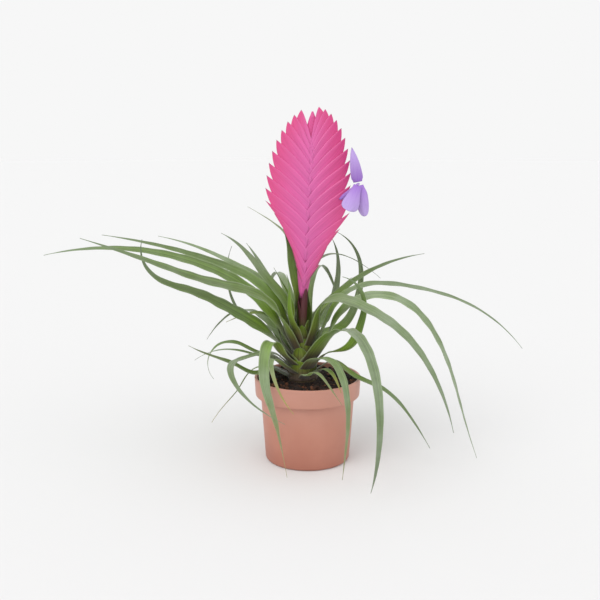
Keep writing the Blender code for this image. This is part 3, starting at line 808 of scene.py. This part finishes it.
@dataclass
class Rosette:
    """All the leaves, each a channelled strap that grows out of a clasping sheath."""

    plans: tuple[LeafPlan, ...]
    crown_soil_radius: float = 12.0
    crown_top_radius: float = 4.0
    crown_soil_z: float = 70.0
    crown_top_z: float = 112.0
    gap: float = 0.35
    blade: float = 0.7
    keel_loss: float = 0.55
    sheath_half_angle: float = 52.0
    channel_half_angle: float = 28.0
    sheath_length: float = 14.0
    sheath_fade: float = 26.0
    sheath_widen: float = 1.5
    least_sheath: float = 9.0
    taper_from: float = 0.12
    roll_from: float = 12.0
    roll_fade: float = 40.0
    lowest_seat: float = 71.0
    lowest_launch: float = 24.0
    highest_launch: float = 80.0
    station_bias: float = 0.65
    tip_width: float = 0.5
    thin_share: float = 0.45
    ripple: float = 0.05
    ripple_from: float = 30.0
    ripple_pitch: tuple[float, float] = (16.0, 24.0)
    reach_full: float = 100.0
    steps: int = 264
    rows: int = 72
    columns: int = 9
    row_bias: float = 1.15
    seed: int = 11

    def crown_radius(self, height: Any) -> Any:
        """Give the crown's radius at a height."""
        share = (height - self.crown_soil_z) / (self.crown_top_z - self.crown_soil_z)
        return (self.crown_soil_radius
                + (self.crown_top_radius - self.crown_soil_radius) * np.maximum(share, 0.0))

    def station_value(self, values: Sequence[float], share: np.ndarray) -> np.ndarray:
        """Read a smooth curve through values whose stations crowd towards the seat.

        Args:
            values: The value at each station.
            share: Shares of the run, from 0 to 1.

        Returns:
            The curve's value at each share.
        """
        given = np.asarray(values, float)
        last = len(given) - 1
        place = np.clip(share, 0, 1) ** self.station_bias * last
        index = np.minimum(place.astype(int), last - 1)
        t = place - index
        ends = np.concatenate([[2 * given[0] - given[1]], given, [2 * given[-1] - given[-2]]])
        a, b, c, d = (ends[index + k] for k in range(4))
        return 0.5 * (2 * b + (c - a) * t + (2 * a - 5 * b + 4 * c - d) * t ** 2
                      + (3 * b - a - 3 * c + d) * t ** 3)

    def angles(self, plan: LeafPlan, share: np.ndarray) -> tuple[np.ndarray, np.ndarray]:
        """Give a leaf's climb and heading along it.

        Args:
            plan: The leaf's plan.
            share: Shares of its length.

        Returns:
            Climbs and headings in radians.
        """
        depth = (self.crown_top_z - plan.seat) / (self.crown_top_z - self.lowest_seat)
        fall = self.highest_launch - self.lowest_launch
        launch = self.highest_launch - fall * depth ** 1.5
        free_length = plan.length - self.sheath_length
        free = np.clip((share * plan.length - self.sheath_length) / free_length, 0, 1)
        climb = self.station_value((launch, *plan.climbs), free)
        return np.radians(climb), np.radians(plan.heading + plan.turn * free)

    def width_at(self, plan: LeafPlan, share: np.ndarray) -> np.ndarray:
        """Give a leaf's width: a clasping sheath, then a strap that tapers to a fine tip.

        Args:
            plan: The leaf's plan.
            share: Shares of its length.

        Returns:
            The width at each share.
        """
        clasp = 2 * math.radians(self.sheath_half_angle) * self.crown_radius(plan.seat)
        sheath = min(max(self.sheath_widen * plan.width, self.least_sheath), clasp)
        tapered = np.clip((share - self.taper_from) / (1 - self.taper_from), 0, 1)
        strap = plan.width * (1 - tapered ** 1.5)
        narrowed = smooth(share * plan.length / (0.25 * plan.length + 10.0))
        return np.maximum(strap + (sheath - plan.width) * (1 - narrowed), self.tip_width)

    def midrib(self, plan: LeafPlan, share: np.ndarray) -> np.ndarray:
        """Walk along a leaf's midrib in small steps.

        Args:
            plan: The leaf's plan.
            share: Shares of its length.

        Returns:
            The midrib's point at each share.
        """
        climb, heading = self.angles(plan, (np.arange(self.steps) + 0.5) / self.steps)
        moves = sheet(np.cos(climb) * np.cos(heading), np.cos(climb) * np.sin(heading),
                      np.sin(climb)) * plan.length / self.steps
        start = math.radians(plan.heading)
        seat = self.crown_radius(plan.seat) + self.gap + self.blade / 2
        foot = np.array([CROWN_X + seat * math.cos(start), seat * math.sin(start), plan.seat])
        walk = np.vstack([foot, foot + np.cumsum(moves, 0)])
        stops = np.arange(self.steps + 1)
        return np.stack([np.interp(share * self.steps, stops, line) for line in walk.T], 1)

    def build_leaf(self, plan: LeafPlan, material: bpy.types.Material, rng: random.Random) -> None:
        """Model one leaf over its node, with a thin margin, a faint keel and a gentle ripple.

        Args:
            plan: The leaf's plan.
            material: The leaf's finish.
            rng: The source of its small irregularities.
        """
        t, across = stations(self.rows, self.columns)
        share = (t ** self.row_bias)[:, 0]
        points = self.midrib(plan, share)
        climb, heading = self.angles(plan, share)
        width = self.width_at(plan, share)
        along = share * plan.length
        blend = smooth((along - self.sheath_length) / self.sheath_fade)
        from_axis = np.hypot(points[:, 0] - CROWN_X, points[:, 1])
        clasp = np.maximum(np.sin(climb), 0.2) / from_axis
        channel = 2 * math.radians(self.channel_half_angle) / np.maximum(width, 0.5 * plan.width)
        curl = (clasp * (1 - blend) + channel * blend)[:, None]
        roll = (np.radians(plan.roll) * smooth((along - self.roll_from) / self.roll_fade))[:, None]
        side = sheet(-np.sin(heading), np.cos(heading), 0.0)
        face = sheet(-np.sin(climb) * np.cos(heading), -np.sin(climb) * np.sin(heading),
                     np.cos(climb))
        side, face = (vector[:, None] for vector in (side * np.cos(roll) + face * np.sin(roll),
                                                     face * np.cos(roll) - side * np.sin(roll)))
        phase = rng.uniform(0, math.tau)
        pitch = rng.uniform(*self.ripple_pitch)
        free = smooth(along / self.ripple_from - 1) * (1 - 0.4 * share)
        angle = width[:, None] * curl * across / 2
        wave = np.sin(math.tau * along[:, None] / pitch + phase + across)
        ripple = self.ripple * (width * free)[:, None] * across ** 2 * wave
        lean, lift = np.sin(angle)[..., None], np.cos(angle)[..., None]
        rise = ((1 - np.cos(angle)) / curl + ripple)[..., None]
        middle = points[:, None] + side * lean / curl[..., None] + face * rise
        keel = self.blade * (1.0 - self.keel_loss * np.abs(across) ** 1.5)
        fullness = self.thin_share + (1 - self.thin_share) * width / plan.width
        thick = keel * np.clip(fullness, 0, 1)[:, None]
        half = (face * lift - side * lean) * thick[..., None] * 0.5
        traits = {"reach": np.clip(along / self.reach_full, 0, 1)[:, None],
                  "along": share[:, None], "across": across,
                  "tone": rng.random(), "age": plan.age, "lush": plan.lush}
        leaf = wrapped_blade(plan.name + "_blade", middle + half, middle - half, traits)
        seat_piece(leaf, material, "leaf", plan.name)

    def build(self, material: bpy.types.Material) -> None:
        """Model every leaf.

        Args:
            material: The leaves' finish.
        """
        rng = random.Random(self.seed)
        for plan in self.plans:
            self.build_leaf(plan, material, rng)


@dataclass(frozen=True)
class ScalePlan:
    """One short scale that stands round an axis: its heading, foot, length and spread."""

    heading: float
    foot_z: float
    length: float
    spread: float


@dataclass
class OldSheaths:
    """The bases of old leaves: short broad scales that wrap the crown between the leaves."""

    rosette: Rosette
    rows: int = 24
    columns: int = 15
    clear: float = 0.35
    thickness: float = 0.5
    flare: float = 2.6
    seed: int = 23
    plans: tuple[ScalePlan, ...] = tuple(ScalePlan(*row) for row in (
        (-104, 70.5, 17, 66), (-20, 71, 15, 60), (150, 71, 16, 64), (60, 71.5, 16, 62),
        (-150, 75, 17, 60), (-62, 76, 17, 60), (100, 77, 17, 62), (-108, 81, 18, 60),
        (-80, 88, 18, 58), (-128, 93, 18, 58), (80, 88, 18, 60), (-98, 99, 18, 60),
        (-30, 104, 17, 58), (140, 101, 18, 58)))

    def build(self, material: bpy.types.Material) -> None:
        """Model every scale, hugging the crown and leaning out towards its blunt tip.

        Args:
            material: The scales' finish.
        """
        rng = random.Random(self.seed)
        t, places = stations(self.rows, self.columns)
        thick = self.thickness * (1 - 0.7 * places ** 2)
        for number, plan in enumerate(self.plans, 1):
            height = plan.foot_z + plan.length * t
            stand = self.rosette.crown_radius(height) + self.clear + self.flare * t ** 1.8
            spread = math.radians(plan.spread) * np.maximum(1 - t ** 2.6, 0.004) ** 0.7
            sweep = math.radians(plan.heading) + spread * places
            inner, outer = (round_axis(CROWN_X, stand + extra, sweep, height)
                            for extra in (0.0, thick))
            # The sheaths take full painted shade, so their faces mostly keep the darker under
            # colours, with little bloom.
            scale = wrapped_blade(f"old_sheath_{number:02d}", inner, outer,
                                  {"reach": 0.02 + 0.3 * t ** 1.3, "along": 0.5 * t,
                                   "across": places, "tone": rng.random(), "age": 0.0, "lush": 1.0})
            seat_piece(scale, material, "leaf")


# Flower spike

@dataclass
class Spike:
    """The flat spike: two ranks of keeled bracts that overlap upwards along a zigzag centre."""

    foot_z: float = 139.3
    top_z: float = 295.0
    widest_z: float = 231.0
    half_widths: dict[Side, float] = field(
        default_factory=lambda: {Side.LEFT: 36.0, Side.RIGHT: 33.2})
    first_angles: dict[Side, float] = field(
        default_factory=lambda: {Side.LEFT: 17.0, Side.RIGHT: 6.0})
    bracts: dict[Side, int] = field(default_factory=lambda: {Side.LEFT: 14, Side.RIGHT: 15})
    low_drops: tuple[float, ...] = (21.0, 34.0, 49.0, 64.0)
    low_widths: dict[Side, tuple[float, ...]] = field(default_factory=lambda: {
        Side.LEFT: (28.0, 20.0, 12.0, 7.5), Side.RIGHT: (34.0, 27.0, 17.5, 12.0)})
    angle_step: float = 9.2
    reach: float = 40.0
    foot_clear: float = 9.0
    tuck: float = 0.7
    bend_share: float = 0.55
    margin_start: float = 0.2
    margin_leave: tuple[float, float] = (0.26, 0.5)
    margin_arrive: float = 0.22
    overreach: float = 1.4
    tip_climb: float = 46.0
    tip_blunt: float = 0.5
    margin_lift: float = 0.75
    foot_half: float = 2.4
    rim_half: float = 0.35
    bud_drop: float = 4.0
    rows: int = 40
    core_rows: int = 30
    columns: int = 11
    seed: int = 5

    def axis_x(self, height: Any) -> Any:
        """Give X of the leaning centre line at a height."""
        return CROWN_X + math.tan(math.radians(SPIKE_LEAN)) * (height - SCAPE_TOP)

    def tip(self, side: Side, index: int) -> np.ndarray:
        """Place a bract's tip on the spike's outline.

        Args:
            side: The rank it belongs to.
            index: Its place, counted from the top.

        Returns:
            X and Z of the tip.
        """
        low = index - self.bracts[side] + len(self.low_drops)
        if low >= 0:
            half, top = self.low_widths[side][low], self.widest_z - self.low_drops[low]
        else:
            angle = math.radians(self.first_angles[side] + self.angle_step * index)
            half = self.half_widths[side] * math.sin(angle)
            top = self.widest_z + (self.top_z - self.widest_z) * math.cos(angle)
        return np.array([self.axis_x(top) + side.value * half, top])

    def pillow(self, x: np.ndarray, z: np.ndarray) -> np.ndarray:
        """Give half the spike's thickness: full along its centre, thin towards its rim.

        Args:
            x: Places along X.
            z: Heights.

        Returns:
            Half the thickness at each place.
        """
        up = np.clip((z - self.foot_z) / (self.top_z - self.foot_z), 0, 1)
        body = self.foot_half + 1.8 * np.sin(math.pi * up) - 1.7 * up
        share = np.abs(x - self.axis_x(z)) / (5.0 + 9.0 * np.sin(math.pi * up) ** 0.7)
        return self.rim_half + body * np.exp(-share ** 1.6)

    def margin(self, side: Side, tip: np.ndarray, foot_z: float, t: np.ndarray) -> np.ndarray:
        """Run a bract's inner margin from the centre line, up and outwards to its tip.

        Args:
            side: The rank it belongs to.
            tip: X and Z of the bract's tip.
            foot_z: Height of the bract's foot.
            t: Shares of the run, as a column.

        Returns:
            X and Z along the margin.
        """
        half = abs(tip[0] - self.axis_x(tip[1]))
        start_z = foot_z + self.margin_start * (tip[1] - foot_z)
        out, down = self.margin_leave
        start = np.array([self.axis_x(start_z) - side.value * self.overreach, start_z])
        leave = np.array([self.axis_x(start_z) + side.value * out * half,
                          tip[1] - down * (tip[1] - start_z)])
        lead = math.radians(self.tip_climb)
        back = np.array([side.value * math.cos(lead), math.sin(lead)])
        arrive = tip - self.margin_arrive * half * back
        return ((1 - t) ** 3 * start + 3 * t * (1 - t) ** 2 * leave
                + 3 * t * t * (1 - t) * arrive + t ** 3 * tip)

    def bract(self, side: Side, index: int, rng: random.Random) -> bpy.types.Object:
        """Model one bract: a keeled boat whose inner margin lies over the bract above it.

        Args:
            side: The rank it belongs to.
            index: Its place, counted from the top.
            rng: The source of its small irregularities.

        Returns:
            The bract's object.
        """
        tip = self.tip(side, index)
        foot_z = max(tip[1] - self.reach, SCAPE_TOP + self.foot_clear)
        foot = np.array([self.axis_x(foot_z), foot_z])
        reach = float(np.linalg.norm(foot - tip))
        backwards = (foot - tip) / reach
        if index < self.bracts[side] - 1:
            to_next = self.tip(side, index + 1) - tip
            backwards = (backwards * (1 - self.tuck)
                         + to_next / np.linalg.norm(to_next) * self.tuck)
        bend = tip + backwards * reach * self.bend_share
        t, places = stations(self.rows, self.columns, first=0.0)
        t = t ** 0.9
        keel = (1 - t) ** 2 * foot + 2 * t * (1 - t) * bend + t * t * tip
        along = (1 - t) * (bend - foot) + t * (tip - bend)
        along /= np.linalg.norm(along, axis=1)[:, None]
        inward = side.value * np.stack([-along[:, 1], along[:, 0]], 1)
        margin = self.margin(side, tip, foot_z, t) + inward * self.tip_blunt * (1 - t ** 8)
        spot = keel[:, None] + (margin - keel)[:, None] * places[:, None]
        x, z = spot[..., 0], spot[..., 1]
        bow = rng.uniform(0.9, 1.1)
        lift = 0.15 + self.margin_lift * places ** 1.5 * bow * np.minimum(1.0, 4.0 * (1.02 - t))
        depth = np.maximum(self.pillow(x, z) + lift - 0.25 * (1 - places) * t, 0.2)
        low = np.clip((index - self.bracts[side] + 3.5) / 3.0, 0, 1)
        ripe = low * np.clip(1.2 - 2.2 * places + 1.2 * (t - 0.6), 0, 1)
        tip_grey = 0.5 * np.clip((t - 0.965) / 0.035, 0, 1)
        strength = 0.75 * (1.0 if side is Side.RIGHT else 0.12)
        hot = strength * math.exp(-((index - 5.0) / 4.0) ** 2) * np.clip(t * 1.5 - 0.2, 0, 1)
        return wrapped_blade(f"bract_{side.name.lower()}_{index + 1:02d}",
                             sheet(x, -depth, z), sheet(x, depth, z),
                             {"along": t, "across": places, "hot": hot,
                              "ripe": np.maximum(ripe, tip_grey),
                              "rank": 7.0 * index + 3.0 * side.value})

    def core(self) -> bpy.types.Object:
        """Model the flattened stem inside the bracts, which ends as the bud at the top.

        Returns:
            The core's object.
        """
        t, places = stations(self.core_rows, self.columns)
        height = self.foot_z + (self.top_z - self.bud_drop - self.foot_z) * t
        half_width = (self.foot_half + 6.0 * np.sin(math.pi * t ** 0.9) ** 0.8
                      + 4.6 * t ** 4 - 6.4 * t ** 9)
        half_depth = self.foot_half + 1.6 * np.sin(math.pi * t) - 1.8 * t
        x = self.axis_x(height) - 1.4 * t ** 6 + half_width * places
        y = half_depth * np.sqrt(np.maximum(1 - places ** 2, 0.01))
        return wrapped_blade("spike_core", sheet(x, -y, height), sheet(x, y, height),
                             {"along": 0.5 * t, "across": 0.5 * np.abs(places),
                              "hot": 0.15, "ripe": 0.0, "rank": 1.0})

    def build(self, material: bpy.types.Material) -> None:
        """Model both ranks and the core, and join them as the spike.

        Args:
            material: The bracts' finish.
        """
        rng = random.Random(self.seed)
        made = [self.bract(side, index, rng) for side in Side for index in range(self.bracts[side])]
        spike = join([*made, self.core()], "spike_bracts")
        seat_piece(spike, material, "spike", "flower_spike")


@dataclass(frozen=True)
class PetalPlan:
    """One petal: its lean from straight up, its size and the way it ends."""

    name: str
    lean: float
    length: float
    width: float
    forward: float
    claw: float
    widest: float
    end_power: float


@dataclass
class Flower:
    """The open flower at the spike's edge: a short tube and three petals."""

    centre: tuple[float, float, float] = (40.5, -7.5, 234.0)
    tube_foot: tuple[float, float, float] = (27.0, 0.0, 222.0)
    tube_radii: tuple[float, float, float] = (2.2, 1.6, 1.28)
    tube_rows: int = 14
    tube_columns: int = 7
    thickness: float = 0.6
    seat: float = 1.4
    offset: float = 1.2
    cup: float = 0.16
    ruffle: float = 0.35
    rows: int = 36
    columns: int = 13
    petals: tuple[PetalPlan, ...] = (
        PetalPlan("petal_upper", -11, 28, 9.5, 0.0, 0.75, 0.14, 0.9),
        PetalPlan("petal_lower_left", -157, 21, 14, 6.0, 0.5, 0.8, 0.36),
        PetalPlan("petal_lower_right", 168, 25, 11, 0.3, 0.7, 0.3, 0.4),
    )

    def build_petal(self, plan: PetalPlan, material: bpy.types.Material) -> None:
        """Model one petal: a narrow claw that widens to a soft, slightly ruffled blade.

        Args:
            plan: The petal's plan.
            material: Its finish.
        """
        lean = math.radians(plan.lean)
        along = np.array([math.sin(lean), 0.0, math.cos(lean)])
        across = np.array([math.cos(lean), 0.0, -math.sin(lean)])
        front = np.array([0.0, -1.0, 0.0])
        start = np.array(self.centre) + along * self.seat - front * self.offset * math.cos(lean)
        t, places = stations(self.rows, self.columns)
        spread = plan.claw + (1 - plan.claw) * smooth(t / plan.widest)
        beyond = np.maximum(t - plan.widest, 0) / (1 - plan.widest)
        width = plan.width * spread * np.maximum(1 - 0.985 * beyond ** 2, 0.015) ** plan.end_power
        arch = plan.forward * (0.4 + 1.2 * t) + 3.0 * np.sin(math.pi * 0.9 * t)
        wave = smooth(t * 1.6 - 0.6) * np.sin(5.0 * places + 3.0 * t + plan.lean)
        out = arch + self.ruffle * wave - self.cup * width * places ** 2
        upper = (start + along * (plan.length * t)[..., None]
                 + across * (width * places / 2)[..., None] + front * out[..., None])
        petal = wrapped_blade(plan.name + "_blade", upper, upper - front * self.thickness,
                              {"along": t, "across": places})
        seat_piece(petal, material, "petal", plan.name)

    def build_tube(self, material: bpy.types.Material) -> None:
        """Model the flower's tube from the bract's axil to the petals.

        Args:
            material: The tube's finish.
        """
        t, places = stations(self.tube_rows, self.tube_columns)
        foot, top = np.array(self.tube_foot), np.array(self.centre)
        line = foot + (top - foot) * t[..., None]
        radius = np.interp(t, [0.0, 0.6, 1.0], self.tube_radii)
        sweep = math.pi / 2 * (places + 1)
        x, swell = -radius * np.cos(sweep), radius * np.sin(sweep)
        tube = wrapped_blade("flower_tube", line + sheet(x, 0.8 * swell, 0.6 * swell),
                             line + sheet(x, -0.8 * swell, -0.6 * swell),
                             {"along": 0.4 * t, "across": places})
        seat_piece(tube, material, "petal")

    def build(self, material: bpy.types.Material) -> None:
        """Model the tube and the petals.

        Args:
            material: The flower's finish.
        """
        self.build_tube(material)
        for plan in self.petals:
            self.build_petal(plan, material)


@dataclass
class Stem:
    """The crown in the soil and the scape it sends up, with the scape's own small bracts."""

    scape_radius: float = 2.2
    clear: float = 0.5
    flare: float = 1.9
    rows: int = 26
    columns: int = 9
    bracts: tuple[ScalePlan, ...] = (ScalePlan(-62, 114, 34, 7.0), ScalePlan(118, 118, 30, 6.5),
                                     ScalePlan(-150, 111, 26, 6.0))

    def build(self, skin: bpy.types.Material) -> None:
        """Dress the crown's own solid, and model narrow bracts that hug the scape.

        Args:
            skin: The finish of the crown and the bracts.
        """
        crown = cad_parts["crown"]
        crown.data.materials.clear()
        crown.data.materials.append(skin)
        t, places = stations(self.rows, self.columns)
        stand = self.scape_radius + self.clear + self.flare * t ** 1.3
        shape = np.sin(math.pi * np.minimum(t * 0.86 + 0.14, 1.0)) ** 0.6
        for number, plan in enumerate(self.bracts, 1):
            height = plan.foot_z + plan.length * t
            arc = np.maximum(plan.spread * shape, 0.4) * places / 2 / stand
            middle = CROWN_X + (np.maximum(height - SCAPE_TOP, 0.0)
                                * math.tan(math.radians(SPIKE_LEAN)))
            upper, under = (round_axis(middle, stand + extra, math.radians(plan.heading) + arc,
                                       height) for extra in (0.3, -0.1))
            bract = wrapped_blade(f"scape_bract_{number}", upper, under,
                                  {"along": t, "across": places})
            seat_piece(bract, skin, "spike")


# Studio

@dataclass(frozen=True)
class Lamp:
    """One soft lamp that points at the plant from its place."""

    name: str
    place: tuple[float, float, float]
    spread: float
    power: float


@dataclass
class Studio:
    """Camera, lights and paper floor, in metres."""

    eye: tuple[float, float, float] = (-0.0064, -0.6867, 0.2733)
    target: tuple[float, float, float] = (-0.0064, 0.0, 0.1373)
    lens: float = 50.3
    sensor: float = 36.0
    clip: tuple[float, float] = (0.01, 50.0)
    floor_radius: float = 9.0
    floor_sides: int = 96
    room: str = "#F7F7F7"
    lamps: tuple[Lamp, ...] = (Lamp("key_light", (-0.5, -0.6, 0.85), 40.0, 1.3),
                               Lamp("fill_light", (0.8, -0.55, 0.5), 60.0, 0.45))

    def place(self, name: str, data: Any, spot: Sequence[float],
              aim: Sequence[float]) -> bpy.types.Object:
        """Put a camera or a lamp in the scene.

        Args:
            name: Its name.
            data: Its camera or light data.
            spot: Where it stands.
            aim: The point it looks at.

        Returns:
            The object.
        """
        obj = bpy.data.objects.new(name, data)
        bpy.context.collection.objects.link(obj)
        obj.location = spot
        obj.rotation_euler = (Vector(aim) - Vector(spot)).to_track_quat("-Z", "Y").to_euler()
        return obj

    def build_camera(self) -> None:
        """Set the camera at the photograph's viewing angle."""
        data = bpy.data.cameras.new("studio_camera")
        data.lens, data.sensor_width = self.lens, self.sensor
        data.clip_start, data.clip_end = self.clip
        camera = self.place("studio_camera", data, self.eye, self.target)
        bpy.context.scene.camera = camera

    def build_floor(self) -> None:
        """Lay a wide paper floor."""
        deselect()
        bpy.ops.mesh.primitive_circle_add(vertices=self.floor_sides, radius=self.floor_radius,
                                          fill_type="NGON")
        floor = take("paper_floor")
        floor.data.materials.append(StudioSweep().material())

    def build_lights(self) -> None:
        """Hang the soft lamps and fill the room with even light."""
        for lamp in self.lamps:
            data = bpy.data.lights.new(lamp.name, "SUN")
            data.energy = lamp.power
            data.angle = math.radians(lamp.spread)
            self.place(lamp.name, data, lamp.place, (0.0, 0.0, 0.0))
        world = bpy.data.worlds.new("soft_room")
        world.use_nodes = True
        sky = world.node_tree.nodes["Background"]
        sky.inputs["Color"].default_value = linear(self.room)
        sky.inputs["Strength"].default_value = 1.0
        bpy.context.scene.world = world
        bpy.context.scene.view_settings.view_transform = "Standard"

    def build(self) -> None:
        """Build the camera, the floor and the lights."""
        self.build_camera()
        self.build_floor()
        self.build_lights()


# Heading, turn, seat, length, width, roll, climbs, age and painted shade of each leaf
LEAVES: dict[str, tuple[tuple, ...]] = {
    "left": (
        (176, 3, 92.8, 244, 12, -40, (53, 25, 7, -13), 0.0, 1.0),
        (161, 20, 96.7, 204, 10, -40, (61, 24, 15, 8), 0.0, 0.85),
        (-140, -36, 94.8, 211, 13, -40, (56, 18, 23, 18), 0.0, 0.85),
        (-165, -14, 86.5, 170, 15, -40, (44, 34, 29, 23, 107), 0.0, 0.9),
        (175, 0, 88.2, 79, 7, -25, (78, 47, -11, -26), 0.6, 0.8),
        (136, 19, 103.5, 186, 7, -45, (43, 20, 16, 6), 0.0, 0.4),
        (151, 4, 105.5, 115, 12, -25, (58, 44, 47, 20), 0.0, 0.3),
        (118, 1, 99.6, 131, 9, -45, (33, 27, 33, 23)), (134, 3, 85.0, 147, 6, 0, (19, 6, 64, 121)),
        (107, 34, 110.3, 140, 6, 5, (81, 71, 26, 19), 0.2, 0.5),
        (171, 7, 108.1, 106, 11, -57, (105, 77, 83, 56), 0.0, 0.9),
        (202, 16, 101.1, 71, 8, 0, (105, 77, 60, 58), 0.0, 0.9),
        (241, 0, 99.6, 68, 7, 0, (50, 70, 95, 55), 0.0, 0.9),
        (195, 162, 81.0, 157, 8, 0, (-2, 3, -24, -26), 0.0, 0.3),
        (180, -5, 78.5, 101, 7, -20, (10, 28, -41, -130), 0.0, 0.7),
        (163, 0, 76.0, 94, 5, -10, (3, 11, -10, -38)),
        (-163, -18, 74.0, 93, 9, -20, (-27, 31, 21, 28), 0.2, 0.8),
        (172, -25, 71.5, 101, 4, 0, (-8, -58, -48, -56), 0.9),
    ),
    "right": (
        (22, -6, 105.0, 133, 8, 30, (42, 34, 20, 5), 0.0, 0.7),
        (3, -17, 93.9, 220, 8, 25, (62, 2, -18, -52)),
        (-15, 17, 87.3, 255, 11, 30, (67, 16, -48, -72, -70)),
        (-40, 15, 98.0, 208, 12, 30, (73, -2, -25, -55, -77)),
        (42, -25, 89.8, 143, 9, 45, (0, 56, 93, 155)),
        (-26, 5, 82.4, 109, 10, -60, (11, 63, 87, 172), 0.0, 0.8),
        (-20, -10, 77.6, 128, 7, 20, (-35, -15, -45, -57), 0.0, 0.6),
    ),
    "front": (
        (-58, -25, 84.9, 232, 12, 0, (39, 13, -41, -90, -131)),
        (-146, 162, 82.5, 151, 11, 0, (51, -61, -49, -74, -81), 0.6),
        (-128, 90, 76.5, 107, 6, 0, (32, 4, -36, -38), 0.9),
        (-70, 29, 80.0, 155, 9, 0, (18, 1, -67, -94, -97), 0.4),
        (-53, -4, 75.0, 49, 7, 0, (15, -12, -44, -56), 0.9),
        (-86, 54, 73.0, 82, 6, 0, (8, 28, -31, -50), 0.4),
    ),
    "back": (
        (68, -13, 92.2, 137, 12, 0, (-5, 33, 75, 137)),
        (51, -33, 106.9, 138, 7, 0, (106, 54, -16, -42)),
        (80, -16, 95.4, 164, 9, 0, (70, 31, -29, -63)),
        (41, -2, 98.4, 73, 6, 0, (55, 42, 38, 28), 0.0, 0.7),
        (98, 8, 73.5, 120, 8, 0, (12, 2, -30, -48)),
        (124, 10, 80.2, 165, 10, 0, (30, 12, -25, -50), 0.0, 0.6),
        (84, -4, 83.0, 150, 10, 0, (30, 4, -30, -52), 0.0, 0.6),
        (104, -3, 87.1, 184, 11, 0, (46, 26, -12, -52), 0.0, 0.6),
    ),
}


def leaf_plans() -> tuple[LeafPlan, ...]:
    """Name each leaf for its side and its number."""
    return tuple(LeafPlan(f"leaf_{side}_{number:02d}", *row) for side, rows in LEAVES.items()
                 for number, row in enumerate(rows, 1))


def main() -> None:
    """Build the studio and every piece of the plant."""
    logging.basicConfig(level=logging.INFO)
    Studio().build()
    Pot().build(MouldedPolypropylene().material())
    soil = Soil()
    soil.build(DampPeat().material())
    soil.build_chips(BarkCrumb().material())
    Stem().build(StemSkin().material())
    cuticle = LeafCuticle().material()
    rosette = Rosette(leaf_plans())
    rosette.build(cuticle)
    OldSheaths(rosette).build(cuticle)
    Spike().build(BractSkin().material())
    Flower().build(PetalTissue().material())


if __name__ == "__main__":
    main()
